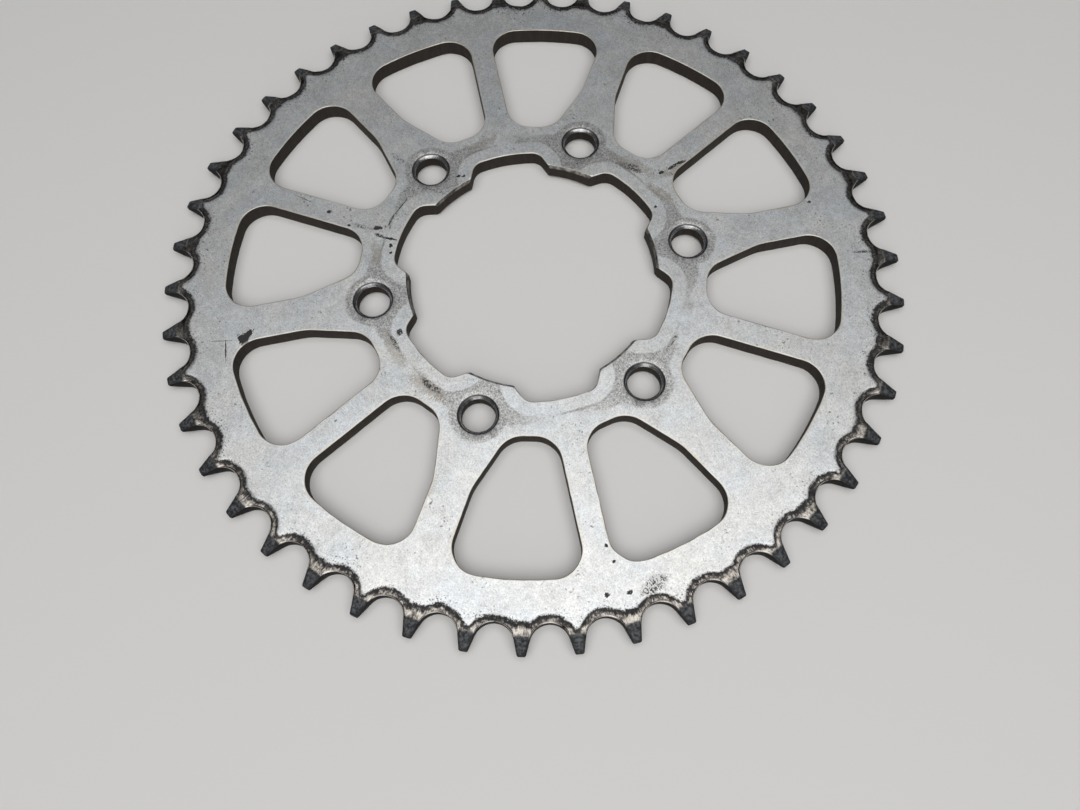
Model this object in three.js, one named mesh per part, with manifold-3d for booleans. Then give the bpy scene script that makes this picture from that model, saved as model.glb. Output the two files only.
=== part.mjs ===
// Rear drive sprocket for a chain-driven motorcycle: one flat steel plate with 46 teeth.
//
// Millimetres. The origin is the centre of the underside (the face that seats on the hub
// carrier). +Z is the axis of the bore and points out of the upper face. One bolt hole lies
// on +Y, and the plate is a mirror image of itself across the YZ plane.

import * as THREE from 'three';
import { mergeVertices } from 'three/addons/utils/BufferGeometryUtils.js';
import Module from 'manifold-3d';

// ---- plate ----
const THICKNESS = 5.8;

// ---- teeth: 520 chain, pitch 15.875 mm (5/8 inch), roller 10.16 mm ----
const TEETH = 46;
const CHAIN_PITCH = 15.875;
const PITCH_RADIUS = CHAIN_PITCH / 2 / Math.sin(Math.PI / TEETH);
const ROOT_RADIUS = PITCH_RADIUS - 5.37;
const TIP_RADIUS = PITCH_RADIUS + 3.38;
const SEAT_RADIUS = 5.9; // of a tooth gap: 5.13 when new, so these are worn
const FLANK_LEAN = rad(12.7); // of the straight upper flank from the centre line of its tooth
const TIP_CORNER = 0.6;
const BEVEL_START_RADIUS = PITCH_RADIUS - 1.92; // turned bevel on both sides of every tooth tip
const BEVEL_DROP = 1.9; // below the face, at the tip

// ---- bore: six lands that centre the plate, and six relieved pockets between them ----
const PILOT_RADIUS = 40;
const PILOT_CHAMFER = 0.9;
const POCKET_RADIUS = 45.25;
const POCKET_CORNER = 4.5;
const POCKET_FLANK_LEAN = rad(21); // of a pocket's side from the centre line of the pocket
const POCKET_FLANK_OFFSET = 26.2; // of that side from the centre of the bore

// ---- bolts ----
const BOLTS = 6;
const BOLT_CIRCLE_RADIUS = 52;
const BOLT_HOLE_RADIUS = 5.25;
const BOLT_HOLE_CHAMFER = 1.03;

// ---- windows: a mirrored pair beside every bolt, between a wide and a narrow spoke ----
const WINDOW_OUTER_RADIUS = 98.9;
const WINDOW_INNER_RADIUS = 56.35;
const WIDE_SPOKE_HALF_WIDTH = 5.95;
const NARROW_SPOKE_HALF_WIDTH = 4.0;
const SPOKE_FLARE = rad(14.7); // the wide spoke widens like this toward its bolt
const SPOKE_FLARE_OFFSET = 24.57; // of the flared side from the centre of the bore
const SPOKE_BLEND = 19;
const WINDOW_CORNER = 8.45;

// ---- fineness ----
const SEAT_STEPS = 7;
const ARC_STEP = rad(11);
const HOLE_STEPS = 28;
const BORE_STEPS = 96;

function rad(degrees) {
  return degrees * Math.PI / 180;
}

function polar(radius, angle) {
  return new THREE.Vector2(radius * Math.cos(angle), radius * Math.sin(angle));
}

// Points of an arc, both ends included; it runs counter-clockwise if `to` is above `from`.
function arc(centre, radius, from, to, steps = Math.ceil(Math.abs(to - from) / ARC_STEP)) {
  const points = [];
  for (let i = 0; i <= steps; i++) {
    const angle = from + (to - from) * i / steps;
    points.push(polar(radius, angle).add(centre));
  }
  return points;
}

// A line is given by the angle of its unit normal and its offset from the origin along it.
// This is the point at that offset, `distance` from the origin, ahead of the normal's foot
// (side = 1: counter-clockwise of the normal) or behind it (side = -1).
function onLine(normalAngle, offset, distance, side) {
  const along = Math.sqrt(distance * distance - offset * offset);
  return polar(offset, normalAngle).add(polar(along, normalAngle + side * Math.PI / 2));
}

function mirrored(points) {
  return points.map((p) => new THREE.Vector2(-p.x, p.y)).reverse();
}

function turned(points, angle) {
  const origin = new THREE.Vector2();
  return points.map((p) => p.clone().rotateAround(origin, angle));
}

// One tooth gap and half a tooth on each side of it, for a gap centred on +Y. Clockwise.
function toothGap() {
  const halfPitch = Math.PI / TEETH;
  const seatCentre = new THREE.Vector2(0, ROOT_RADIUS + SEAT_RADIUS);
  const toothAxis = Math.PI / 2 - halfPitch;
  // Outward normal of the flank that faces this gap, on the tooth to the right of it.
  const flankNormal = toothAxis + Math.PI / 2 - FLANK_LEAN;
  const flankOffset = seatCentre.dot(polar(1, flankNormal)) - SEAT_RADIUS;
  const cornerCentre = onLine(flankNormal, flankOffset - TIP_CORNER, TIP_RADIUS - TIP_CORNER, -1);
  const seatEnd = flankNormal - Math.PI;
  const seat = arc(seatCentre, SEAT_RADIUS, -Math.PI / 2, seatEnd, SEAT_STEPS);
  const corner = arc(cornerCentre, TIP_CORNER, flankNormal, cornerCentre.angle(), 2);
  const half = [...seat, ...corner];
  return [...mirrored(half), ...half.slice(1)];
}

function toothedOutline() {
  const gap = toothGap();
  const points = [];
  for (let i = 0; i < TEETH; i++) {
    points.push(...turned(gap, -i * 2 * Math.PI / TEETH));
  }
  return points;
}

// The window on the +X side of the wide spoke that lies along +Y. Counter-clockwise.
function windowOutline() {
  const origin = new THREE.Vector2();
  const narrowNormal = rad(150); // of the narrow spoke's side; that spoke lies along 60 degrees
  const topDistance = WINDOW_OUTER_RADIUS - WINDOW_CORNER;
  const footDistance = WINDOW_INNER_RADIUS + WINDOW_CORNER;
  const wideOffset = WIDE_SPOKE_HALF_WIDTH + WINDOW_CORNER;
  const flareOffset = SPOKE_FLARE_OFFSET + WINDOW_CORNER;
  const narrowOffset = NARROW_SPOKE_HALF_WIDTH + WINDOW_CORNER;
  const topWide = onLine(0, wideOffset, topDistance, 1);
  const footWide = onLine(SPOKE_FLARE, flareOffset, footDistance, 1);
  const footNarrow = onLine(narrowNormal, narrowOffset, footDistance, -1);
  const topNarrow = onLine(narrowNormal, narrowOffset, topDistance, -1);
  // The blend touches x = half width and the flared side, so its centre is equally far from both.
  const blendX = WIDE_SPOKE_HALF_WIDTH + SPOKE_BLEND;
  const blendOffset = SPOKE_FLARE_OFFSET + SPOKE_BLEND;
  const blendY = (blendOffset - blendX * Math.cos(SPOKE_FLARE)) / Math.sin(SPOKE_FLARE);
  const blend = new THREE.Vector2(blendX, blendY);
  const flip = Math.PI; // from the direction of a line's normal to that of its touching point
  return [
    ...arc(origin, WINDOW_OUTER_RADIUS, topNarrow.angle(), topWide.angle(), 6).slice(1, -1),
    ...arc(topWide, WINDOW_CORNER, topWide.angle(), flip),
    ...arc(blend, SPOKE_BLEND, flip, flip + SPOKE_FLARE),
    ...arc(footWide, WINDOW_CORNER, flip + SPOKE_FLARE, flip + footWide.angle()),
    ...arc(footNarrow, WINDOW_CORNER, flip + footNarrow.angle(), flip + narrowNormal),
    ...arc(topNarrow, WINDOW_CORNER, flip + narrowNormal, 2 * flip + topNarrow.angle()),
  ];
}

// The bore as the plate is cut: a circle with six pockets in it. Counter-clockwise.
function boreOutline() {
  const origin = new THREE.Vector2();
  const axis = Math.PI / 2; // the pocket that is drawn first lies on +Y
  const flankNormal = axis + Math.PI / 2 - POCKET_FLANK_LEAN;
  const cornerOffset = POCKET_FLANK_OFFSET - POCKET_CORNER;
  const cornerCentre = onLine(flankNormal, cornerOffset, POCKET_RADIUS - POCKET_CORNER, -1);
  const landEnd = onLine(flankNormal, POCKET_FLANK_OFFSET, PILOT_RADIUS, -1);
  const half = [
    ...arc(origin, POCKET_RADIUS, axis, cornerCentre.angle(), 2),
    ...arc(cornerCentre, POCKET_CORNER, cornerCentre.angle(), flankNormal).slice(1),
    ...arc(origin, PILOT_RADIUS, landEnd.angle(), axis + Math.PI / BOLTS, 3),
  ];
  const pocket = [...mirrored(half), ...half.slice(1, -1)];
  const points = [];
  for (let i = 0; i < BOLTS; i++) {
    points.push(...turned(pocket, (i + 0.5) * 2 * Math.PI / BOLTS));
  }
  return points;
}

function plateWithOpenings() {
  const shape = new THREE.Shape(toothedOutline());
  shape.holes.push(new THREE.Path(boreOutline()));
  const window = windowOutline();
  for (let i = 0; i < BOLTS; i++) {
    const angle = i * 2 * Math.PI / BOLTS;
    shape.holes.push(new THREE.Path(turned(window, angle)));
    shape.holes.push(new THREE.Path(turned(mirrored(window), angle)));
  }
  return new THREE.ExtrudeGeometry(shape, { depth: THICKNESS, bevelEnabled: false });
}

// A solid turned about Z, from [radius, z] pairs listed upward, with its seam at `start`.
function lathed(profile, steps, start = 0) {
  const points = profile.map(([radius, z]) => new THREE.Vector2(radius, z));
  return new THREE.LatheGeometry(points, steps, start).rotateX(Math.PI / 2);
}

// Everything inside the bevels of the tooth tips. It has one flat for every tooth and every
// gap, each in the middle of its tooth or gap, and stands clear of the plate's two faces.
function rimEnvelope() {
  const slope = BEVEL_DROP / (TIP_RADIUS - BEVEL_START_RADIUS);
  const steps = 2 * TEETH;
  const flatToCorner = 1 / Math.cos(Math.PI / steps);
  const inside = (BEVEL_START_RADIUS - 2 / slope) * flatToCorner;
  const outside = (TIP_RADIUS + 1) * flatToCorner;
  const low = BEVEL_DROP + slope;
  const profile = [
    [0, -2],
    [inside, -2],
    [outside, low],
    [outside, THICKNESS - low],
    [inside, THICKNESS + 2],
    [0, THICKNESS + 2],
  ];
  return lathed(profile, steps, Math.PI / steps);
}

// What a 45 degree countersink on both faces takes away. The waist between the two cones has
// the radius `waist`: the hole's own radius where the hole is drilled, less where it is cut.
function countersunkHole(radius, chamfer, waist, steps) {
  const depth = chamfer + radius - waist;
  const mouth = radius + chamfer + 1;
  const profile = [
    [0, -1],
    [mouth, -1],
    [waist, depth],
    [waist, THICKNESS - depth],
    [mouth, THICKNESS + 1],
    [0, THICKNESS + 1],
  ];
  return lathed(profile, steps);
}

const wasm = await Module();
wasm.setup();

function toManifold(geometry) {
  const bare = geometry.clone();
  bare.deleteAttribute('normal');
  bare.deleteAttribute('uv');
  const merged = mergeVertices(bare, 1e-5);
  const mesh = new wasm.Mesh({
    numProp: 3,
    vertProperties: new Float32Array(merged.attributes.position.array),
    triVerts: new Uint32Array(merged.index.array),
  });
  return new wasm.Manifold(mesh);
}

function toGeometry(solid) {
  const mesh = solid.getMesh();
  const geometry = new THREE.BufferGeometry();
  geometry.setAttribute('position', new THREE.BufferAttribute(mesh.vertProperties, 3));
  geometry.setIndex(new THREE.BufferAttribute(mesh.triVerts, 1));
  geometry.computeVertexNormals();
  return geometry;
}

function sprocketPlate() {
  let plate = toManifold(plateWithOpenings());
  plate = plate.intersect(toManifold(rimEnvelope()));
  const bore = countersunkHole(PILOT_RADIUS, PILOT_CHAMFER, PILOT_RADIUS - 1, BORE_STEPS);
  plate = plate.subtract(toManifold(bore));
  const bolt = countersunkHole(BOLT_HOLE_RADIUS, BOLT_HOLE_CHAMFER, BOLT_HOLE_RADIUS, HOLE_STEPS);
  for (let i = 0; i < BOLTS; i++) {
    const centre = polar(BOLT_CIRCLE_RADIUS, Math.PI / 2 + i * 2 * Math.PI / BOLTS);
    plate = plate.subtract(toManifold(bolt.clone().translate(centre.x, centre.y, 0)));
  }
  return toGeometry(plate);
}

const steel = new THREE.MeshStandardMaterial({
  color: 0xb4b7ba,
  roughness: 0.42,
  metalness: 0.9,
});

const sprocket = new THREE.Group();
sprocket.name = 'rear_drive_sprocket';

const plate = new THREE.Mesh(sprocketPlate(), steel);
plate.name = 'sprocket_plate';
sprocket.add(plate);

export default sprocket;
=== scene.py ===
"""Looks of a worn rear drive sprocket: one plated steel plate, rubbed bare where the chain ran."""

import math

import bpy
import numpy as np
from mathutils import Matrix, Vector, kdtree, noise
from mathutils.geometry import delaunay_2d_cdt


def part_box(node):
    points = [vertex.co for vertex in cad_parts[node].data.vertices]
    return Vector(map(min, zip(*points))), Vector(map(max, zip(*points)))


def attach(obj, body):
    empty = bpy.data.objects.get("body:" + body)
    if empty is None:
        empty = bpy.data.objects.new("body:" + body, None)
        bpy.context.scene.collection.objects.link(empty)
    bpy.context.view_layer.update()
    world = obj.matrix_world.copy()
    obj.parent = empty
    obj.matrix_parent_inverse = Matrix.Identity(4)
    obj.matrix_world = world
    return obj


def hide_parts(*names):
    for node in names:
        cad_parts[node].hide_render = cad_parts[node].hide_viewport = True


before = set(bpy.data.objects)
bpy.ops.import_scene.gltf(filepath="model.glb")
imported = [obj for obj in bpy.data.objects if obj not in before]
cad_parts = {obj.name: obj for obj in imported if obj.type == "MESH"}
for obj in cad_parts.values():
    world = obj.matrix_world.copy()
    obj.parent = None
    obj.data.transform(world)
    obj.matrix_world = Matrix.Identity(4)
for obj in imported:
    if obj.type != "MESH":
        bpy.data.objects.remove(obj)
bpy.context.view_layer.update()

# ---------------------------------------------------------------------------
# Sizes. Everything on the plate is in millimetres until it becomes a mesh.
# ---------------------------------------------------------------------------

MM = 0.001
plate_low, plate_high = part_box("sprocket_plate")

THICKNESS = (plate_high.z - plate_low.z) / MM
TIP_RADIUS = plate_high.x / MM

TEETH = 46
CHAIN_PITCH = 15.875
PITCH_RADIUS = CHAIN_PITCH / 2 / math.sin(math.pi / TEETH)
ROOT_RADIUS = PITCH_RADIUS - 5.37
SEAT_RADIUS = 5.9
SEAT_CENTRE = ROOT_RADIUS + SEAT_RADIUS
FLANK_LEAN = math.radians(12.7)
FLANK_NORMAL = math.pi / TEETH + FLANK_LEAN
FLANK_OFFSET = SEAT_CENTRE * math.sin(FLANK_NORMAL) - SEAT_RADIUS
TIP_CORNER = 0.6
BEVEL_START = PITCH_RADIUS - 1.92
BEVEL_DROP = 1.9

PILOT_RADIUS = 40.0
PILOT_CHAMFER = 0.9
POCKET_RADIUS = 45.25
POCKET_CORNER = 4.5
POCKET_FLANK_LEAN = math.radians(21)
POCKET_FLANK_OFFSET = 26.2

BOLTS = 6
BOLT_CIRCLE = 52.0
BOLT_HOLE_RADIUS = 5.25
BOLT_HOLE_CHAMFER = 1.03

WINDOW_OUTER = 98.9
WINDOW_INNER = 56.35
WIDE_SPOKE = 5.95
NARROW_SPOKE = 4.0
SPOKE_FLARE = math.radians(14.7)
SPOKE_FLARE_OFFSET = 24.57
SPOKE_BLEND = 19.0
WINDOW_CORNER = 8.45

# Wear. The chain's side plates reach this far from each roller's centre, and the plates of
# the inner links, over every second tooth, also rub straight across it.
LINK_REACH = 7.85
INNER_LINK_REACH = 110.3
OUTER_LINK_REACH = 112.9
WEAR_BLEND = 0.25
WEAR_DEPTH = 0.18
WEAR_SLOPE = (-0.15, 0.35)
WEAR_RIPPLE = 0.05
WEAR_RIPPLE_SCALE = 0.55
ROUNDED_WIDTH = 1.2
ROUNDED_DEPTH = 0.22

# Radii of the worn edges, which vary a little along them. The rim's radius is larger low on
# the teeth than at their tips.
RIM_EDGE = 0.52
RIM_EDGE_UNTIL = BEVEL_START - 1.4
TIP_EDGE = 0.26
TIP_EDGE_FROM = BEVEL_START + 0.6
BORE_EDGE = 0.28
WINDOW_EDGE = 0.24
HOLE_EDGE = 0.12
EDGE_VARIATION = 0.3
EDGE_WAVES = 14
EDGE_QUARTER = np.radians([0, 30, 60, 90])

# Spacing of the mesh's points.
RIM_STEP = 0.42
TIP_STEP = 0.18
BORE_STEP = 0.6
WINDOW_STEP = 0.9
HOLE_STEP = 0.45
MOUTH_STEP = 0.6
CREASE_STEP = 0.65
WEAR_STEPS_PER_TOOTH = 24

# Lines that the mesh follows, as distances from an edge, crease or border.
SUPPORT_MARGIN = 0.16
CREASE_MARGIN = 0.12
MOUTH_MARGIN = 0.08
WEAR_LINES = (-0.18, 0.1, 0.38)

# Points that fill the face between those lines. They keep clear of them.
FINE_FROM = 107.6
FINE_STEP = 0.8
FINE_ROW = 0.75
GRID_STEP = 2.4
CLEARANCE = 0.42

# Marks left by the hub and the bolts: polished lobes between the bolts, a grey zone at each.
LOBE_RADIUS = 49.8
LOBE_HALF = 18.3
LOBE_CORNER = 7.5
BLASTED_RADIUS = 8.9

TURN = 2 * math.pi
UP = math.pi / 2


# ---------------------------------------------------------------------------
# Outlines: arrays of points, listed with the metal on the left
# ---------------------------------------------------------------------------

def polar(radius, angle):
    return np.array([radius * math.cos(angle), radius * math.sin(angle)])


def angle_of(point):
    return math.atan2(point[1], point[0])


def arc(centre, radius, start, end, step):
    """Points of an arc, both ends included, at most `step` apart."""
    count = max(1, math.ceil(abs(end - start) * radius / step))
    angles = np.linspace(start, end, count + 1)
    return np.array(centre) + radius * np.column_stack([np.cos(angles), np.sin(angles)])


def on_line(normal, offset, distance, side):
    """The point of a line that lies `distance` from the origin. The line is given by the
    angle of its normal and its offset along it; side is 1 for counter-clockwise of that."""
    along = math.sqrt(distance * distance - offset * offset)
    return polar(offset, normal) + polar(along, normal + side * UP)


def mirrored(points):
    return (points * [-1, 1])[::-1]


def turned(points, angle):
    c, s = math.cos(angle), math.sin(angle)
    return points @ np.array([[c, s], [-s, c]])


def straight(start, end, step):
    """Points between two ends, neither included."""
    count = max(1, math.ceil(math.dist(start, end) / step))
    shares = np.linspace(0, 1, count + 1)[1:-1, None]
    return start + (end - start) * shares


def tooth_gap(step):
    """One gap, centred on +Y, with half a tooth on each side. Counter-clockwise."""
    seat_centre = np.array([0, SEAT_CENTRE])
    tooth_axis = UP + math.pi / TEETH
    corner = on_line(FLANK_NORMAL, FLANK_OFFSET - TIP_CORNER, TIP_RADIUS - TIP_CORNER, 1)
    seat_end = FLANK_NORMAL + math.pi
    # The seat is split where the bevel begins, so that the bevel's edge ends on a vertex.
    squares = SEAT_CENTRE**2 + BEVEL_START**2 - SEAT_RADIUS**2
    swing = math.acos(squares / (2 * SEAT_CENTRE * BEVEL_START))
    bevel_point = polar(BEVEL_START, UP + swing)
    bevel_angle = angle_of(bevel_point - seat_centre) % TURN
    seat_low = arc(seat_centre, SEAT_RADIUS, 1.5 * math.pi, bevel_angle, step)
    seat_high = arc(seat_centre, SEAT_RADIUS, bevel_angle, seat_end, step)[1:]
    tip = arc(corner, TIP_CORNER, FLANK_NORMAL, angle_of(corner), TIP_STEP)
    flank = straight(seat_high[-1], tip[0], step)
    land = straight(tip[-1], polar(TIP_RADIUS, tooth_axis), step)
    end = [polar(TIP_RADIUS, tooth_axis)]
    half = np.vstack([seat_low, seat_high, flank, tip, land, end])
    return half, len(seat_low) - 1


def toothed_outline(step):
    """The whole rim, and the indices of the two vertices where each tooth's bevel begins."""
    half, bevel = tooth_gap(step)
    gap = np.vstack([mirrored(half)[:-1], half])[:-1]
    middle = len(half) - 1
    points = np.vstack([turned(gap, i * TURN / TEETH) for i in range(TEETH)])
    size = len(gap)
    pairs = []
    for i in range(TEETH):
        here = i * size + middle + bevel
        there = ((i + 1) % TEETH) * size + middle - bevel
        pairs.append((here, there))
    return points, pairs


def window_outline(step):
    """The window on the +X side of the wide spoke along +Y. Clockwise."""
    narrow_normal = math.radians(150)
    top = WINDOW_OUTER - WINDOW_CORNER
    foot = WINDOW_INNER + WINDOW_CORNER
    top_wide = on_line(0, WIDE_SPOKE + WINDOW_CORNER, top, 1)
    foot_wide = on_line(SPOKE_FLARE, SPOKE_FLARE_OFFSET + WINDOW_CORNER, foot, 1)
    foot_narrow = on_line(narrow_normal, NARROW_SPOKE + WINDOW_CORNER, foot, -1)
    top_narrow = on_line(narrow_normal, NARROW_SPOKE + WINDOW_CORNER, top, -1)
    blend_x = WIDE_SPOKE + SPOKE_BLEND
    blend_offset = SPOKE_FLARE_OFFSET + SPOKE_BLEND
    blend_y = (blend_offset - blend_x * math.cos(SPOKE_FLARE)) / math.sin(SPOKE_FLARE)
    flip = math.pi
    flare = flip + SPOKE_FLARE
    side = flip + narrow_normal
    wide_foot_angle = flip + angle_of(foot_wide)
    narrow_foot_angle = flip + angle_of(foot_narrow)
    arcs = [
        arc((0, 0), WINDOW_OUTER, angle_of(top_narrow), angle_of(top_wide), step),
        arc(top_wide, WINDOW_CORNER, angle_of(top_wide), flip, step),
        arc((blend_x, blend_y), SPOKE_BLEND, flip, flare, step),
        arc(foot_wide, WINDOW_CORNER, flare, wide_foot_angle, step),
        arc((0, 0), WINDOW_INNER, angle_of(foot_wide), angle_of(foot_narrow), step),
        arc(foot_narrow, WINDOW_CORNER, narrow_foot_angle, side, step),
        arc(top_narrow, WINDOW_CORNER, side, 2 * flip + angle_of(top_narrow), step),
    ]
    return joined(arcs, step)[::-1]


def joined(pieces, step):
    """A closed outline through arcs, with straight runs between them and no doubled points."""
    points = []
    for piece, following in zip(pieces, pieces[1:] + pieces[:1]):
        points.append(piece)
        points.append(straight(piece[-1], following[0], step))
    outline = np.vstack([p for p in points if len(p)])
    gap = np.linalg.norm(outline - np.roll(outline, 1, axis=0), axis=1)
    return outline[gap > 1e-6]


def bore_outline(step):
    """The bore with its pockets, and the two vertices of each land where its chamfer begins."""
    axis = UP
    flank_normal = axis + UP - POCKET_FLANK_LEAN
    corner_offset = POCKET_FLANK_OFFSET - POCKET_CORNER
    corner = on_line(flank_normal, corner_offset, POCKET_RADIUS - POCKET_CORNER, -1)
    rim = on_line(flank_normal, POCKET_FLANK_OFFSET, PILOT_RADIUS + PILOT_CHAMFER, -1)
    land = on_line(flank_normal, POCKET_FLANK_OFFSET, PILOT_RADIUS, -1)
    pocket = arc((0, 0), POCKET_RADIUS, axis, angle_of(corner), step)
    round_corner = arc(corner, POCKET_CORNER, angle_of(corner), flank_normal, step)[1:]
    upper = straight(round_corner[-1], rim, step)
    lower = straight(rim, land, step)
    flat = arc((0, 0), PILOT_RADIUS, angle_of(land), axis + math.pi / BOLTS, step)
    half = np.vstack([pocket, round_corner, upper, [rim], lower, flat])
    rim_index = len(pocket) + len(round_corner) + len(upper)
    sixth = np.vstack([mirrored(half)[:-1], half])[:-1]
    middle = len(half) - 1
    size = len(sixth)
    points = np.vstack([turned(sixth, (i + 0.5) * TURN / BOLTS) for i in range(BOLTS)])
    last = len(points) - 1
    pairs = []
    for i in range(BOLTS):
        here = i * size + middle + rim_index
        there = ((i + 1) % BOLTS) * size + middle - rim_index
        pairs.append((last - here, last - there))
    return points[::-1], pairs


def bolt_centres():
    return [polar(BOLT_CIRCLE, UP + i * TURN / BOLTS) for i in range(BOLTS)]


# ---------------------------------------------------------------------------
# The plate's surface
# ---------------------------------------------------------------------------

def smooth_step(value, low, high):
    t = np.clip((value - low) / (high - low), 0, 1)
    return t * t * (3 - 2 * t)


def from_gap(angle):
    """Angle from the middle of the nearest tooth gap, and which side of it the tooth lies."""
    pitches = (angle - UP) / TURN * TEETH
    return (pitches - np.round(pitches)) * TURN / TEETH, np.floor(pitches) % 2


def wear_line(angle):
    """Radius at which the rubbed band begins, at each angle of an array."""
    off, inner_link = from_gap(angle)
    chord = np.sqrt(np.maximum(LINK_REACH**2 - (PITCH_RADIUS * np.sin(off)) ** 2, 0))
    by_rollers = PITCH_RADIUS * np.cos(off) - chord
    by_plates = np.where(inner_link == 1, INNER_LINK_REACH, OUTER_LINK_REACH)
    return -WEAR_BLEND * np.logaddexp(-by_rollers / WEAR_BLEND, -by_plates / WEAR_BLEND)


def past_line(points):
    """How far each point lies outside the line where the rubbed band begins."""
    radius = np.linalg.norm(points, axis=1)
    return radius - wear_line(np.arctan2(points[:, 1], points[:, 0]))


def from_rim(points):
    """How far each point lies inside the metal from the nearest roller seat, flank or tip."""
    radius = np.linalg.norm(points, axis=1)
    off = from_gap(np.arctan2(points[:, 1], points[:, 0]))[0]
    across = radius * np.sin(np.abs(off))
    above = radius * np.cos(off) - SEAT_CENTRE
    from_seat = np.hypot(across, above) - SEAT_RADIUS
    c, s = math.cos(FLANK_NORMAL), math.sin(FLANK_NORMAL)
    from_flank = across * c - above * s - SEAT_RADIUS
    beyond_seat = across * s + above * c > 0
    return np.minimum(np.where(beyond_seat, from_flank, from_seat), TIP_RADIUS - radius)


def drop(points):
    """How far the surface lies under the flat of the face, at points of an array."""
    radius = np.linalg.norm(points, axis=1)
    slope = BEVEL_DROP / (TIP_RADIUS - BEVEL_START)
    depth = np.maximum(radius - BEVEL_START, 0) * slope
    depth += np.maximum(PILOT_RADIUS + PILOT_CHAMFER - radius, 0)
    for centre in bolt_centres():
        from_bolt = np.linalg.norm(points - centre, axis=1)
        depth += np.maximum(BOLT_HOLE_RADIUS + BOLT_HOLE_CHAMFER - from_bolt, 0)
    depth += ROUNDED_DEPTH * np.clip(1 - from_rim(points) / ROUNDED_WIDTH, 0, 1) ** 2
    rubbed = smooth_step(past_line(points), *WEAR_SLOPE)
    depth += rubbed * WEAR_DEPTH
    for i in np.flatnonzero(rubbed > 0):
        spot = Vector((points[i, 0], points[i, 1], 0)) * WEAR_RIPPLE_SCALE
        depth[i] += rubbed[i] * WEAR_RIPPLE * noise.noise(spot)
    return depth


class Loop:
    """A closed outline with the metal on its left. `edge` is the radius of its worn edge, and
    `creases` are pairs of its vertices, joined across the metal along a circle."""

    def __init__(self, points, edge, seed, creases=(), crease_radius=0):
        self.points = points
        self.creases = creases
        self.crease_radius = crease_radius
        ahead = np.roll(points, -1, axis=0) - points
        ahead /= np.linalg.norm(ahead, axis=1)[:, None]
        right = np.column_stack([ahead[:, 1], -ahead[:, 0]])
        before = np.roll(right, 1, axis=0)
        together = (right * before).sum(axis=1)[:, None]
        self.normals = (right + before) / (1 + together)
        self.edge = edge * (1 + EDGE_VARIATION * self.ripple(seed))

    def ripple(self, seed):
        """A smooth random wave round the loop, between about -1 and 1."""
        draw = np.random.default_rng(seed)
        length = np.linalg.norm(np.roll(self.points, -1, axis=0) - self.points, axis=1)
        along = np.cumsum(length) / length.sum() * TURN
        most_waves = max(6, int(length.sum() / 5))
        total = np.zeros(len(along))
        for k in draw.integers(2, most_waves, EDGE_WAVES):
            total += np.cos(k * along + draw.uniform(0, TURN))
        return total / 4

    def inset(self, distance):
        return self.points - self.normals * np.reshape(distance, (-1, 1))


def inside(points, outline):
    """Whether each point lies inside a closed outline."""
    hit = np.zeros(len(points), bool)
    low, high = outline.min(axis=0), outline.max(axis=0)
    near = np.flatnonzero(((points >= low) & (points <= high)).all(axis=1))
    following = np.roll(outline, -1, axis=0)
    for chunk in np.array_split(near, max(1, len(near) // 4000)):
        x, y = points[chunk, 0:1], points[chunk, 1:2]
        spans = (outline[:, 1] > y) != (following[:, 1] > y)
        rise = following[:, 1] - outline[:, 1]
        rise[rise == 0] = 1e-12
        crossing = outline[:, 0] + (y - outline[:, 1]) * (following[:, 0] - outline[:, 0]) / rise
        hit[chunk] = ((spans & (crossing > x)).sum(axis=1) % 2).astype(bool)
    return hit


def ring(centre, radius, step):
    return arc(centre, radius, 0, TURN, step)[:-1]


def crease_chain(start, end, radius, step):
    """Points along the circle `radius` about the bore between two points, neither included."""
    first, last = angle_of(start), angle_of(end)
    span = (last - first + math.pi) % TURN - math.pi
    return arc((0, 0), radius, first, first + span, step)[1:-1]


def plate_loops():
    """The rim, then every opening."""
    rim, bevels = toothed_outline(RIM_STEP)
    from_centre = np.linalg.norm(rim, axis=1)
    lowness = smooth_step(-from_centre, -TIP_EDGE_FROM, -RIM_EDGE_UNTIL)
    rim_edge = TIP_EDGE + (RIM_EDGE - TIP_EDGE) * lowness
    bore, lands = bore_outline(BORE_STEP)
    window = window_outline(WINDOW_STEP)
    loops = [
        Loop(rim, rim_edge, 1, bevels, BEVEL_START),
        Loop(bore, BORE_EDGE, 2, lands, PILOT_RADIUS + PILOT_CHAMFER),
    ]
    for i, centre in enumerate(bolt_centres()):
        angle = i * TURN / BOLTS
        hole = ring(centre, BOLT_HOLE_RADIUS, HOLE_STEP)[::-1]
        loops.append(Loop(turned(window, angle), WINDOW_EDGE, 10 + i))
        loops.append(Loop(turned(mirrored(window), angle), WINDOW_EDGE, 20 + i))
        loops.append(Loop(hole, HOLE_EDGE, 30 + i))
    return loops


def alongside(chain, radius):
    """Lines close to a crease, on both sides of it, that keep its shading sharp."""
    return [chain * (1 + shift / radius) for shift in (-CREASE_MARGIN, CREASE_MARGIN)]


def feature_lines():
    """Closed lines on the face that the mesh follows: the rubbed band and the countersinks."""
    angles = np.linspace(0, TURN, TEETH * WEAR_STEPS_PER_TOOTH, endpoint=False)
    directions = np.column_stack([np.cos(angles), np.sin(angles)])
    lines = [directions * (wear_line(angles) + shift)[:, None] for shift in WEAR_LINES]
    mouth = BOLT_HOLE_RADIUS + BOLT_HOLE_CHAMFER
    for centre in bolt_centres():
        for shift in (-MOUTH_MARGIN, MOUTH_MARGIN):
            lines.append(ring(centre, mouth + shift, MOUTH_STEP))
    return lines


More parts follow.
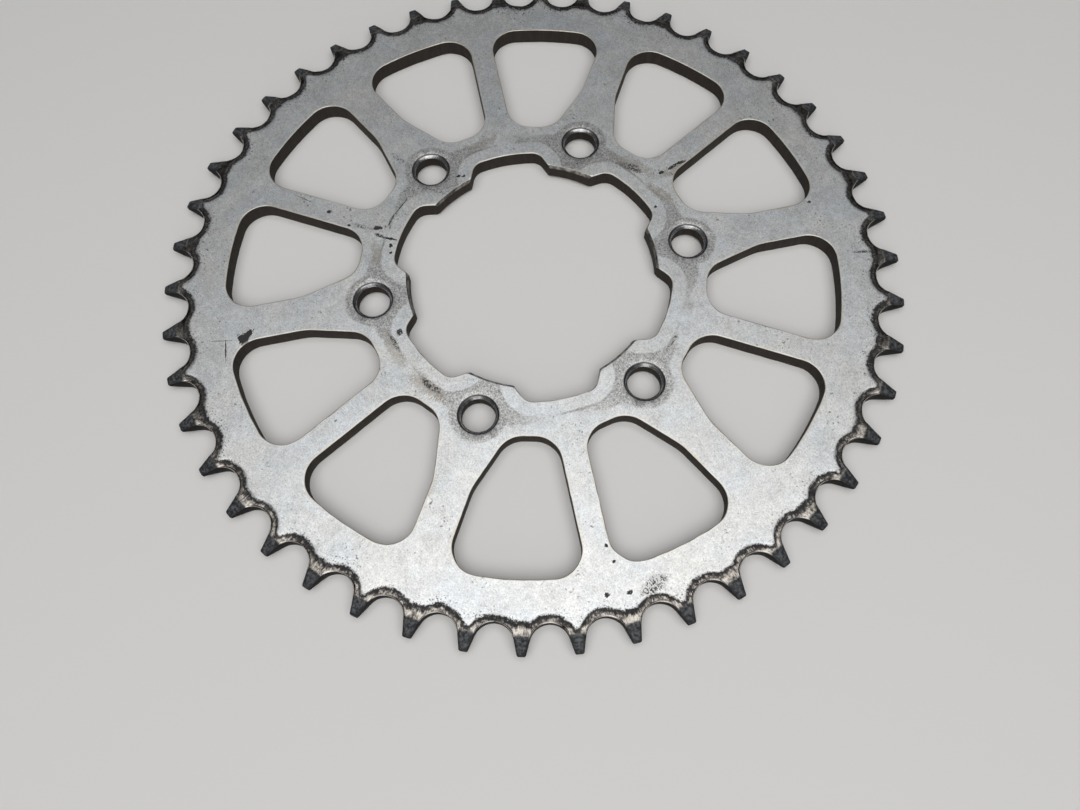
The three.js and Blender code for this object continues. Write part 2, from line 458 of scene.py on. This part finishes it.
def filling_points():
    """Points inside the face: rings close together near the teeth, a wider grid elsewhere."""
    radii = np.arange(FINE_FROM, TIP_RADIUS, FINE_ROW)
    rows = [ring((0, 0), radius, FINE_STEP) for radius in radii]
    across = np.arange(-FINE_FROM, FINE_FROM, GRID_STEP)
    heights = np.arange(-FINE_FROM, FINE_FROM, GRID_STEP * math.sqrt(0.75))
    for i, height in enumerate(heights):
        shift = GRID_STEP / 2 * (i % 2)
        row = np.column_stack([across + shift, np.full(len(across), height)])
        rows.append(row[np.linalg.norm(row, axis=1) < FINE_FROM - GRID_STEP / 4])
    return np.vstack(rows)


class Lines:
    """Points, and the edges between them that the mesh has to follow."""

    def __init__(self):
        self.points = []
        self.edges = []
        self.count = 0

    def add(self, line, closed):
        """Add the points of a line, and give the index of the first."""
        first = self.count
        self.points.append(line)
        self.count += len(line)
        self.edges.extend((i, i + 1) for i in range(first, self.count - 1))
        if closed:
            self.edges.append((self.count - 1, first))
        return first


def within(points, outlines):
    """Whether each point lies inside the first outline and outside all the others."""
    held = inside(points, outlines[0])
    for outline in outlines[1:]:
        held &= ~inside(points, outline)
    return held


def clear_of(fixed, points):
    """Whether each point keeps its distance from all the fixed ones."""
    placed = fixed[np.argsort(fixed[:, 0])]
    clear = np.ones(len(points), bool)
    for i, point in enumerate(points):
        low = np.searchsorted(placed[:, 0], point[0] - CLEARANCE)
        high = np.searchsorted(placed[:, 0], point[0] + CLEARANCE)
        near = placed[low:high] - point
        clear[i] = not ((near**2).sum(axis=1) < CLEARANCE**2).any()
    return clear


def face_triangles(loops):
    """The flat of one face: points, triangles, and each loop's own points among them."""
    supports = [loop.inset(loop.edge + SUPPORT_MARGIN) for loop in loops]
    lines = Lines()
    owners = []
    for support in supports:
        first = lines.add(support, True)
        owners.append(np.arange(first, first + len(support)))
    for loop, support, owner in zip(loops, supports, owners):
        for start, end in loop.creases:
            chain = crease_chain(support[start], support[end], loop.crease_radius, CREASE_STEP)
            first = lines.add(chain, False)
            lines.edges.append((owner[start], first))
            lines.edges.append((first + len(chain) - 1, owner[end]))
            for line in alongside(chain, loop.crease_radius):
                lines.add(line, False)
    for line in feature_lines():
        lines.add(line, True)
    fixed = np.vstack(lines.points)
    free = filling_points()
    free = free[within(free, supports)]
    everything = np.vstack([fixed, free[clear_of(fixed, free)]])
    made = delaunay_2d_cdt([Vector(p) for p in everything], lines.edges, [], 0, 1e-5)
    flat = np.array([tuple(v) for v in made[0]])
    triangles = np.array([f for f in made[2] if len(f) == 3])
    new_index = {old: new for new, olds in enumerate(made[3]) for old in olds}
    owners = [np.array([new_index[i] for i in owner]) for owner in owners]
    middles = flat[triangles].mean(axis=1)
    return flat, triangles[within(middles, supports)], owners


def from_opening(points, loops):
    """How far each point lies from the nearest outline of an opening."""
    outline = np.vstack([loop.points for loop in loops[1:]])
    finder = kdtree.KDTree(len(outline))
    for i, point in enumerate(outline):
        finder.insert((*point, 0), i)
    finder.balance()
    return [finder.find((*point, 0))[2] for point in points]


def edge_rings(loop):
    """Rings of points from the upper face over the worn edge, down the wall, and under it."""
    rings = []
    for angle in EDGE_QUARTER:
        place = loop.inset(loop.edge * (1 - math.sin(angle)))
        depth = drop(place) + loop.edge * (1 - math.cos(angle))
        rings.append(np.column_stack([place, THICKNESS - depth]))
    below = [np.column_stack([r[:, :2], THICKNESS - r[:, 2]]) for r in rings[::-1]]
    middle = (rings[-1] + below[0]) / 2
    return rings + [middle] + below


def counter_clockwise(flat, triangles):
    p, q, r = flat[triangles[:, 0]], flat[triangles[:, 1]], flat[triangles[:, 2]]
    cross = (q[:, 0] - p[:, 0]) * (r[:, 1] - p[:, 1]) - (q[:, 1] - p[:, 1]) * (r[:, 0] - p[:, 0])
    return np.where(cross[:, None] > 0, triangles, triangles[:, ::-1])


def plate_mesh():
    """Both faces and every wall, with the distances that the material needs at each vertex."""
    loops = plate_loops()
    flat, triangles, owners = face_triangles(loops)
    sunk = drop(flat)
    size = len(flat)
    layers = [np.column_stack([flat, THICKNESS - sunk]), np.column_stack([flat, sunk])]
    upper = counter_clockwise(flat, triangles)
    faces = [tuple(t) for t in upper] + [tuple(t[::-1] + size) for t in upper]
    count = 2 * size
    for loop, owner in zip(loops, owners):
        indices = [owner]
        for points in edge_rings(loop):
            layers.append(points)
            indices.append(np.arange(count, count + len(points)))
            count += len(points)
        indices.append(owner + size)
        for high, low in zip(indices, indices[1:]):
            faces += zip(high, low, np.roll(low, -1), np.roll(high, -1))
    vertices = np.vstack(layers) * MM
    mesh = bpy.data.meshes.new("sprocket")
    mesh.from_pydata(vertices.tolist(), [], [tuple(int(i) for i in f) for f in faces])
    mesh.shade_smooth()
    places = vertices[:, :2] / MM
    fields = {
        "past_line": past_line(places),
        "from_rim": from_rim(places),
        "from_opening": from_opening(places, loops),
    }
    for name, values in fields.items():
        attribute = mesh.attributes.new(name, "FLOAT", "POINT")
        attribute.data.foreach_set("value", values)
    return mesh


# ---------------------------------------------------------------------------
# Material: a small language for shader nodes
# ---------------------------------------------------------------------------

steel = bpy.data.materials.new("plated_steel")
steel.use_nodes = True
tree = steel.node_tree
tree.nodes.clear()


class Field:
    """A number or colour worked out at every point of the surface."""

    def __init__(self, socket):
        self.socket = socket

    def __add__(self, other):
        return maths("ADD", self, other)

    def __radd__(self, other):
        return maths("ADD", other, self)

    def __sub__(self, other):
        return maths("SUBTRACT", self, other)

    def __rsub__(self, other):
        return maths("SUBTRACT", other, self)

    def __mul__(self, other):
        return maths("MULTIPLY", self, other)

    def __rmul__(self, other):
        return maths("MULTIPLY", other, self)

    def __abs__(self):
        return maths("ABSOLUTE", self)


def add_node(kind, inputs, **settings):
    """A node with its inputs filled, each by a constant or by a field."""
    node = tree.nodes.new("ShaderNode" + kind)
    for key, value in settings.items():
        setattr(node, key, value)
    for key, value in inputs.items():
        if isinstance(value, Field):
            tree.links.new(value.socket, node.inputs[key])
        else:
            node.inputs[key].default_value = value
    return node


def maths(operation, *values):
    return Field(add_node("Math", dict(enumerate(values)), operation=operation).outputs[0])


def greatest(*values):
    total = values[0]
    for value in values[1:]:
        total = maths("MAXIMUM", total, value)
    return total


def rise(value, low, high):
    """0 below low and 1 above high, smoothly; low may be the larger one."""
    inputs = {"Value": value, "From Min": low, "From Max": high}
    if low > high:
        inputs |= {"From Min": high, "From Max": low, "To Min": 1.0, "To Max": 0.0}
    return Field(add_node("MapRange", inputs, interpolation_type="SMOOTHSTEP").outputs[0])


def band(value, low, high, soft):
    """1 between low and high, fading to 0 over `soft` beyond each."""
    return rise(value, low - soft, low) * rise(value, high + soft, high)


def scaled(vector, *factors):
    inputs = {0: vector, 1: factors}
    return Field(add_node("VectorMath", inputs, operation="MULTIPLY").outputs[0])


def parts(vector):
    """The x, y and z of a vector."""
    outputs = add_node("SeparateXYZ", {0: vector}).outputs
    return [Field(outputs[i]) for i in range(3)]


def combined(*values):
    return Field(add_node("CombineXYZ", dict(enumerate(values))).outputs[0])


def grain(size, detail=2.0, roughness=0.5, shift=0.0, place=None):
    """Noise between 0 and 1 whose lumps are about `size` mm across."""
    inputs = {"Vector": place or position, "Scale": 1 / size, "Detail": detail, "W": shift,
              "Roughness": roughness}
    return Field(add_node("TexNoise", inputs, noise_dimensions="4D").outputs["Fac"])


def between(low, high, share):
    """A number from low, where share is 0, to high, where it is 1."""
    return Field(add_node("Mix", {0: share, 2: low, 3: high}, data_type="FLOAT").outputs[0])


def mixed(low, high, share):
    """A colour from low to high. A constant colour is a tuple of red, green and blue."""
    inputs = {0: share}
    for slot, tint in ((6, low), (7, high)):
        inputs[slot] = tint if isinstance(tint, Field) else (*tint, 1.0)
    return Field(add_node("Mix", inputs, data_type="RGBA").outputs[2])


def mark(x0, y0, x1, y1, half_width):
    """1 in a smudge or scratch on the upper face between two points, fading to 0 round it."""
    inputs = {
        "Vector": position,
        "Location": ((x0 + x1) / 2, (y0 + y1) / 2, THICKNESS),
        "Rotation": (0, 0, math.atan2(y1 - y0, x1 - x0)),
        "Scale": (math.dist((x0, y0), (x1, y1)) / 2 + half_width, half_width, THICKNESS / 2),
    }
    place = Field(add_node("Mapping", inputs, vector_type="TEXTURE").outputs[0])
    away = Field(add_node("VectorMath", {0: place}, operation="LENGTH").outputs["Value"])
    return rise(away + patchiness, 1.20, 0.75)


def tinted(colour, tint):
    inputs = {0: 1.0, 6: colour, 7: tint}
    return Field(add_node("Mix", inputs, data_type="RGBA", blend_type="MULTIPLY").outputs[2])


# Colours. A pair is the darkest and brightest of a surface that varies between them.
SILVER = ((0.40, 0.40, 0.395), (1.0, 1.0, 1.0))
SILVER_TINTS = ((0.94, 0.972, 1.0), (0.99, 0.99, 0.975))
PIT = (0.10, 0.095, 0.09)
MATT = ((0.24, 0.238, 0.236), (0.76, 0.755, 0.75))
LINE_DIRT = (0.10, 0.09, 0.075)
SMEAR_DIRT = (0.16, 0.14, 0.11)
STAIN = (0.33, 0.27, 0.19)
GREASE_BLACK = (0.048, 0.046, 0.046)
BARE = ((0.042, 0.038, 0.034), (0.52, 0.485, 0.44))
# Painted highlight along the rim's edge.
RIM_EDGE_HIGHLIGHT = (0.92, 0.87, 0.82)
GRIME = (0.026, 0.025, 0.029)
# Painted highlight along the openings' edges, plain and warm.
OPENING_HIGHLIGHT = (0.92, 0.89, 0.82)
WARM_OPENING_HIGHLIGHT = (0.78, 0.67, 0.50)
TOOTH_END = ((0.024, 0.026, 0.030), (0.142, 0.148, 0.157))
# Painted shade along the tooth ends' edges.
TOOTH_EDGE_SHADE = (0.025, 0.024, 0.024)
# Painted warm reflection on the rounded edges.
ROUNDED_EDGE_REFLECTION = (0.50, 0.455, 0.40)
COUNTERSINK = ((0.34, 0.34, 0.345), (0.62, 0.62, 0.62))
MOUTH_LINE = (0.02, 0.019, 0.018)
LAND = ((0.12, 0.11, 0.10), (0.40, 0.38, 0.35))
# Walls: brown cut steel, painted dark as shade, and near black on the teeth as painted shade.
WALL_STEEL_AND_SHADE = ((0.032, 0.027, 0.023), (0.050, 0.041, 0.034))
RIM_WALL_SHADE = (0.007, 0.006, 0.006)

# Places on the plate, in millimetres.
object_place = Field(add_node("TexCoord", {}).outputs["Object"])
position = scaled(object_place, 1 / MM, 1 / MM, 1 / MM)
x, y, z = parts(position)
radius = maths("SQRT", x * x + y * y)
angle = maths("ARCTAN2", y, x)
upright = abs(parts(Field(add_node("NewGeometry", {}).outputs["Normal"]))[2])

# Grains and clouds, named by the size of their lumps.
fine = grain(0.45, roughness=0.6)
sand = grain(0.9, detail=3.0, roughness=0.6, shift=3.0)
medium = grain(2.2, detail=3.0, roughness=0.6, shift=5.0)
cloud = grain(7.0, detail=3.0, roughness=0.55, shift=9.0)
broad = grain(30.0, shift=13.0)

# As the mesh was shaped: past the rubbed band's line, in from the rim, and from an opening.
past = Field(add_node("Attribute", {}, attribute_name="past_line").outputs["Fac"])
inward = Field(add_node("Attribute", {}, attribute_name="from_rim").outputs["Fac"])
to_opening = Field(add_node("Attribute", {}, attribute_name="from_opening").outputs["Fac"])

# Around the bolts: `across` is measured sideways from the line through the nearest bolt.
sixths = (angle - UP) * (BOLTS / TURN)
from_bolt_line = (sixths - maths("ROUND", sixths)) * (TURN / BOLTS)
across = abs(maths("SINE", from_bolt_line) * radius)
outward = maths("COSINE", from_bolt_line) * radius - BOLT_CIRCLE
from_bolt = maths("SQRT", across * across + outward * outward)

# The lobes between the bolts, where the hub's feet polished the face.
from_middle = (math.pi / BOLTS - abs(from_bolt_line)) * radius
beside = maths("MAXIMUM", from_middle - (LOBE_HALF - LOBE_CORNER), 0.0)
beyond = maths("MAXIMUM", radius - (LOBE_RADIUS - LOBE_CORNER), 0.0)
from_lobe = maths("SQRT", beside * beside + beyond * beyond) - LOBE_CORNER + (medium - 0.5) * 1.2

# Plating: satin silver with a sandy grain, faint clouds and a scatter of dark pits.
share = 0.66 + (fine - 0.5) * 1.5 + (sand - 0.5) * 0.9
share = share + (medium - 0.5) * 0.55 + (cloud - 0.5) * 0.5
silver = mixed(*SILVER, share)
warmth = rise(grain(10.0, shift=17.0) * 0.5 + broad * 0.5, 0.38, 0.62)
silver = tinted(silver, mixed(*SILVER_TINTS, warmth))
patchy = rise(grain(12.0, detail=3.0, roughness=0.6, shift=23.0), 0.45, 0.68)
pits = rise(grain(0.8, shift=27.0) + patchy * 0.06, 0.66, 0.75)
silver = mixed(silver, PIT, pits * (0.35 + patchy * 0.45))

# Blasted grey zone round each bolt, running out in horns between the lobes and the windows.
horn = radius - LOBE_RADIUS - 3.6 + rise(across, 11.0, 26.0) * 3.6
zone = maths("SMOOTH_MIN", from_bolt - BLASTED_RADIUS, horn, 1.6) + (medium - 0.5) * 1.2
fading = 1 - rise(across, 8.5, 22.0) * (0.40 + rise(cloud, 0.40, 0.60) * 0.45)
blasted = rise(zone, 0.6, -0.5) * rise(from_lobe, -0.35, 0.5) * fading * rise(radius, 38.0, 42.0)
lumps = grain(0.55, roughness=0.6, shift=31.0)
matt = mixed(*MATT, rise(lumps * 0.5 + fine * 0.5, 0.37, 0.63))
silver = mixed(silver, matt, blasted * 0.92)

# Dirt along the lobes' outline.
line_dirt = rise(grain(13.0, shift=41.0), 0.48, 0.64)
line = band(from_lobe, 0.0, 0.3, 0.45) * line_dirt * rise(across, 5.0, 8.0)
smear_dirt = rise(grain(8.0, shift=43.0), 0.54, 0.68)
smear = band(from_lobe, 0.2, 2.6, 1.0) * smear_dirt * rise(across, 10.0, 15.0)
silver = mixed(silver, LINE_DIRT, line * (0.25 + rise(sand, 0.35, 0.65) * 0.4))
silver = mixed(silver, SMEAR_DIRT, smear * rise(sand, 0.42, 0.60) * 0.5)

# Marks from use and handling, each between two points: x0, y0, x1, y1, half width, strength.
# Grease of strength 0.5 comes out as speckles, and of 0.85 or more as a solid mark.
patchiness = (medium - 0.5) * 1.1 + (sand - 0.5) * 1.3 + (fine - 0.5) * 1.5
GREASE = [
    (-84.1, 41.8, -83.6, 42.8, 1.60, 0.90),
    (-82.4, 42.4, -80.8, 42.9, 1.15, 0.90),
    (-93.0, 49.5, -85.5, 43.5, 0.25, 0.54),
    (-92.2, 39.8, -87.3, 47.1, 0.26, 0.66),
    (-40.3, 74.9, -37.5, 68.0, 0.30, 0.55),
    (-35.9, 62.0, -35.5, 61.6, 0.60, 0.78),
    (-34.1, 53.5, -33.8, 53.1, 0.45, 0.80),
    (-33.5, 53.6, -28.8, 46.7, 1.10, 0.51),
    (-27.8, 46.3, -27.0, 45.6, 0.75, 0.92),
    (-29.6, 44.8, -28.0, 41.3, 0.75, 0.60),
    (-28.2, 41.6, -26.0, 38.8, 0.50, 0.80),
    (-28.5, 37.8, -28.3, 38.1, 0.75, 0.85),
    (-30.2, 35.8, -30.1, 35.7, 0.50, 0.90),
    (-12.0, 48.6, -21.1, 46.1, 0.25, 0.62),
    (-20.3, 46.4, -24.7, 44.2, 0.45, 0.62),
    (56.8, -1.0, 57.6, -1.3, 0.60, 0.85),
    (59.6, -1.8, 64.2, -2.3, 0.65, 0.66),
    (63.4, -2.2, 66.2, -3.1, 0.60, 0.72),
    (46.3, -9.5, 46.4, -9.5, 0.55, 0.95),
    (5.2, 43.8, 5.6, 43.6, 0.55, 0.85),
    (6.4, 42.7, 6.8, 42.5, 0.55, 0.85),
    (-45.2, 11.8, -46.0, 11.1, 1.00, 0.62),
    (-43.3, -81.0, -43.4, -80.8, 0.60, 0.72),
    (-44.9, -85.6, -44.8, -85.6, 0.50, 0.80),
    (-53.0, -91.0, -52.7, -91.4, 0.75, 0.68),
    (-47.8, -94.9, -47.2, -95.0, 0.75, 0.64),
    (-44.5, -97.0, -37.0, -98.8, 2.80, 0.53),
    (85.5, -42.5, 85.6, -42.5, 0.55, 0.85),
    (81.0, -64.0, 87.0, -69.0, 0.60, 0.56),
    (50.0, 10.0, 52.5, 4.0, 2.00, 0.54),
    (34.0, 24.0, 42.0, 18.5, 1.50, 0.51),
    (-48.4, 13.5, -50.0, 5.5, 1.00, 0.54),
    (-50.6, -5.0, -49.0, -13.2, 1.60, 0.54),
    (12.2, -48.8, 20.3, -47.1, 0.90, 0.52),
    (-6.0, 66.0, -5.0, 60.5, 1.60, 0.50),
]
STAINS = [
    (-72.0, -34.0, -68.0, -32.0, 2.4, 0.45),
    (-51.5, -4.0, -50.0, -14.0, 2.6, 0.60),
    (-49.5, 13.0, -51.5, 4.0, 2.0, 0.50),
    (50.8, -3.0, 51.7, -11.0, 1.9, 0.60),
    (50.0, 13.0, 54.0, 2.5, 2.4, 0.55),
    (16.0, 49.5, 23.5, 47.3, 1.7, 0.60),
    (57.5, -2.5, 65.0, -4.0, 1.9, 0.60),
    (-31.7, 41.8, -35.0, 36.5, 2.0, 0.50),
]


def all_of(marks):
    """The strength of the strongest mark at each place."""
    total = 0.0
    for *ends, half_width, strength in marks:
        total = greatest(total, mark(*ends, half_width) * strength)
    return total


splash = rise(grain(17.0, shift=55.0), 0.42, 0.62)
specks = rise(grain(0.6, detail=1.0, shift=57.0), 0.60, 0.68)
spatter = specks * band(past, -2.0, 0.0, 1.2) * (0.20 + splash * 0.75)
grease = rise(all_of(GREASE) * (fine * 1.2 + sand * 0.8), 0.48, 0.60)
stained = all_of(STAINS) * rise(sand, 0.30, 0.62)
silver = mixed(silver, STAIN, stained)
greasy = greatest(grease, spatter)
silver = mixed(silver, GREASE_BLACK, greasy)

# Rubbed band: a ragged dark line of dirt, then steel rubbed bare and scored, with a painted
# highlight along the rim's edge.
along_band = combined(angle * (PITCH_RADIUS * 1.6), past * 0.45, z * 0.2)
scored = grain(0.55, detail=3.0, roughness=0.6, shift=51.0, place=along_band)
uneven = (cloud - 0.5) * 1.8 + (medium - 0.5) * 1.3 - 0.15
ragged = past + uneven + (sand - 0.5) * (1.5 + splash * 2.4) + (fine - 0.5) * 1.8
worn = rise(ragged, -0.55, 0.25)
grime = worn * rise(ragged + (scored - 0.5) * 1.6 - splash * 0.5, 1.5, 0.5)
foot = band(radius, BEVEL_START - 1.6, BEVEL_START - 0.3, 0.8)
polish = rise(scored * 0.35 + sand * 0.25 + medium * 0.4 + foot * 0.06, 0.44, 0.67)
bare = mixed(*BARE, polish)
# Painted highlight: a bright line just in from the rim's edge.
rim_highlight = band(inward, 0.02, 0.28, 0.22) * rise(medium, 0.30, 0.50) * 0.75
bare = mixed(bare, RIM_EDGE_HIGHLIGHT, rim_highlight)
bare = mixed(bare, GRIME, grime * (0.70 + rise(sand, 0.35, 0.6) * 0.25))
face = mixed(silver, bare, worn)

# Openings: a thin painted highlight along each edge, warm along parts of the windows.
opening_highlight = rise(to_opening, 0.75, 0.42) * (1 - worn)
warm_share = rise(grain(15.0, shift=59.0), 0.48, 0.64) * rise(radius, 54.0, 57.0)
face = mixed(face, mixed(OPENING_HIGHLIGHT, WARM_OPENING_HIGHLIGHT, warm_share), opening_highlight * (0.15 + medium * 0.7))

# Tooth ends beyond the bevel's edge: dull dark grey, with painted shade near the rounded-off
# edges.
ragged_radius = radius + (sand - 0.5) * 1.6 + (medium - 0.5) * 2.4
on_bevel = rise(ragged_radius, BEVEL_START - 0.5, BEVEL_START + 0.6)
dull = mixed(*TOOTH_END, rise(grain(0.9, detail=3.0, roughness=0.7, shift=61.0), 0.38, 0.66))
dull = mixed(dull, TOOTH_EDGE_SHADE, rise(inward + (sand - 0.5) * 0.8, 1.0, 0.3) * 0.6)
face = mixed(face, dull, on_bevel)

# Rounded worn edges with a painted warm reflection, the chamfers, and the cut walls with the
# cutter's upright lines, painted dark as shade.
up_the_wall = scaled(position, 1.0, 1.0, 0.12)
streaks = grain(0.9, detail=3.0, roughness=0.6, shift=71.0, place=up_the_wall)
# Painted warm reflection on the rounded edges, where the normal tilts.
rounding = band(upright, 0.55, 0.93, 0.06) * (1 - worn)
face = mixed(face, ROUNDED_EDGE_REFLECTION, rounding * (0.35 + rise(medium, 0.4, 0.6) * 0.4))
mouth = BOLT_HOLE_RADIUS + BOLT_HOLE_CHAMFER
scuffs = rise(grain(1.6, detail=3.0, roughness=0.6, shift=65.0), 0.38, 0.62)
countersunk = rise(from_bolt, mouth + 0.1, mouth - 0.1)
mouth_line = band(from_bolt, mouth - 0.15, mouth + 0.15, 0.15)
face = mixed(face, mixed(*COUNTERSINK, scuffs), countersunk)
face = mixed(face, MOUTH_LINE, mouth_line * 0.85)
chamfer_radius = PILOT_RADIUS + PILOT_CHAMFER
on_land = rise(radius, chamfer_radius + 0.1, chamfer_radius - 0.1)
face = mixed(face, mixed(*LAND, scuffs), on_land)
# The walls: brown steel with upright streaks, painted dark as shade, and near black from 102 to
# 104 mm outward as painted shade.
flank = rise(upright, 0.62, 0.40)
wall = mixed(*WALL_STEEL_AND_SHADE, rise(streaks, 0.30, 0.75))
wall = mixed(wall, RIM_WALL_SHADE, rise(radius, 102.0, 104.0))
colour = mixed(face, wall, flank)

rough = 0.37 + fine * 0.12 + cloud * 0.06
rough = between(rough, 0.46 + greasy * 0.14, greatest(blasted, greasy))
rough = between(rough, 0.25 + grime * 0.40, worn)
rough = between(rough, 0.62, on_bevel)
rough = between(rough, 0.24, countersunk)
rough = between(rough, 0.75, flank)
metal = 0.82 - greasy * 0.57
metal = between(metal, 1 - grime * 0.7, worn)
metal = between(metal, 0.35, on_bevel)
metal = between(metal, 0.95, countersunk)
metal = between(metal, 0.20, flank)

height = fine * 0.7 + sand * 0.9 + lumps * 0.5
bump = add_node("Bump", {"Height": height, "Strength": 0.5, "Distance": 0.06 * MM})
surface = add_node(
    "BsdfPrincipled",
    {
        "Base Color": colour,
        "Metallic": metal,
        "Roughness": rough,
        "Specular IOR Level": 0.25,
        "Normal": Field(bump.outputs[0]),
    },
)
add_node("OutputMaterial", {"Surface": Field(surface.outputs[0])})


# ---------------------------------------------------------------------------
# The piece, and the stage
# ---------------------------------------------------------------------------

def add_object(name, data):
    item = bpy.data.objects.new(name, data)
    bpy.context.scene.collection.objects.link(item)
    return item


def seen_from(azimuth, elevation):
    """Direction from the plate to a place in the room. Azimuth 0 is -Y, and 90 is +X."""
    a, e = math.radians(azimuth), math.radians(elevation)
    return Vector((math.sin(a) * math.cos(e), -math.cos(a) * math.cos(e), math.sin(e)))


def soft_light(name, azimuth, elevation, distance, size, power, tint):
    """A round lamp, `size` metres across, that faces the plate's centre."""
    lamp = bpy.data.lights.new(name, "AREA")
    lamp.shape = "DISK"
    lamp.size = size
    lamp.energy = power
    lamp.color = tint
    item = add_object(name, lamp)
    back = seen_from(azimuth, elevation)
    item.location = back * distance
    item.rotation_euler = back.to_track_quat("Z", "Y").to_euler()


sprocket = add_object("sprocket", plate_mesh())
sprocket.data.materials.append(steel)
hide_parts("sprocket_plate")
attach(sprocket, "root")

FLOOR_RADIUS = 3.0
FLOOR_STEP = 0.2
FLOOR_GAP = 0.0002
FLOOR_COLOUR = (0.83, 0.82, 0.805, 1)
FLOOR_ROUGHNESS = 0.8
floor_rim = ring((0, 0), FLOOR_RADIUS, FLOOR_STEP)
floor_mesh = bpy.data.meshes.new("floor")
floor_mesh.from_pydata([(x, y, -FLOOR_GAP) for x, y in floor_rim], [], [range(len(floor_rim))])
floor = add_object("floor", floor_mesh)
paint = bpy.data.materials.new("pale_floor")
paint.use_nodes = True
paint_shader = paint.node_tree.nodes["Principled BSDF"]
paint_shader.inputs["Base Color"].default_value = FLOOR_COLOUR
paint_shader.inputs["Roughness"].default_value = FLOOR_ROUGHNESS
floor.data.materials.append(paint)

soft_light("key", -36, 74, 1.0, 1.55, 10.0, (1.0, 0.995, 0.985))
soft_light("front", -40, 16, 1.5, 1.0, 2.6, (1.0, 0.98, 0.95))
soft_light("fill", 140, 40, 1.6, 1.4, 0.12, (0.86, 0.93, 1.0))

ROOM_COLOUR = (0.72, 0.76, 0.82, 1)
ROOM_LIGHT = 0.07
world = bpy.data.worlds.new("room")
world.use_nodes = True
background = world.node_tree.nodes["Background"]
background.inputs["Color"].default_value = ROOM_COLOUR
background.inputs["Strength"].default_value = ROOM_LIGHT
bpy.context.scene.world = world
bpy.context.scene.view_settings.view_transform = "Standard"

# The photograph's camera: it stood over the near edge of the plate, turned a little.
CAMERA_AIM = Vector((-0.02904, -0.03627, THICKNESS * MM))
CAMERA_AZIMUTH = -40.41
CAMERA_ELEVATION = 70.0
CAMERA_DISTANCE = 0.25093
CAMERA_ROLL = math.radians(-1.405)
SENSOR_WIDTH = 36.0
FOCAL_LENGTH = 27.506
lens = bpy.data.cameras.new("camera")
lens.sensor_width = SENSOR_WIDTH
lens.lens = FOCAL_LENGTH
lens.clip_start = 0.01
camera = add_object("camera", lens)
toward_camera = seen_from(CAMERA_AZIMUTH, CAMERA_ELEVATION)
camera.location = CAMERA_AIM + toward_camera * CAMERA_DISTANCE
level = toward_camera.to_track_quat("Z", "Y").to_matrix().to_4x4()
roll = Matrix.Rotation(CAMERA_ROLL, 4, "Z")
camera.matrix_world = Matrix.Translation(camera.location) @ level @ roll
bpy.context.scene.camera = camera
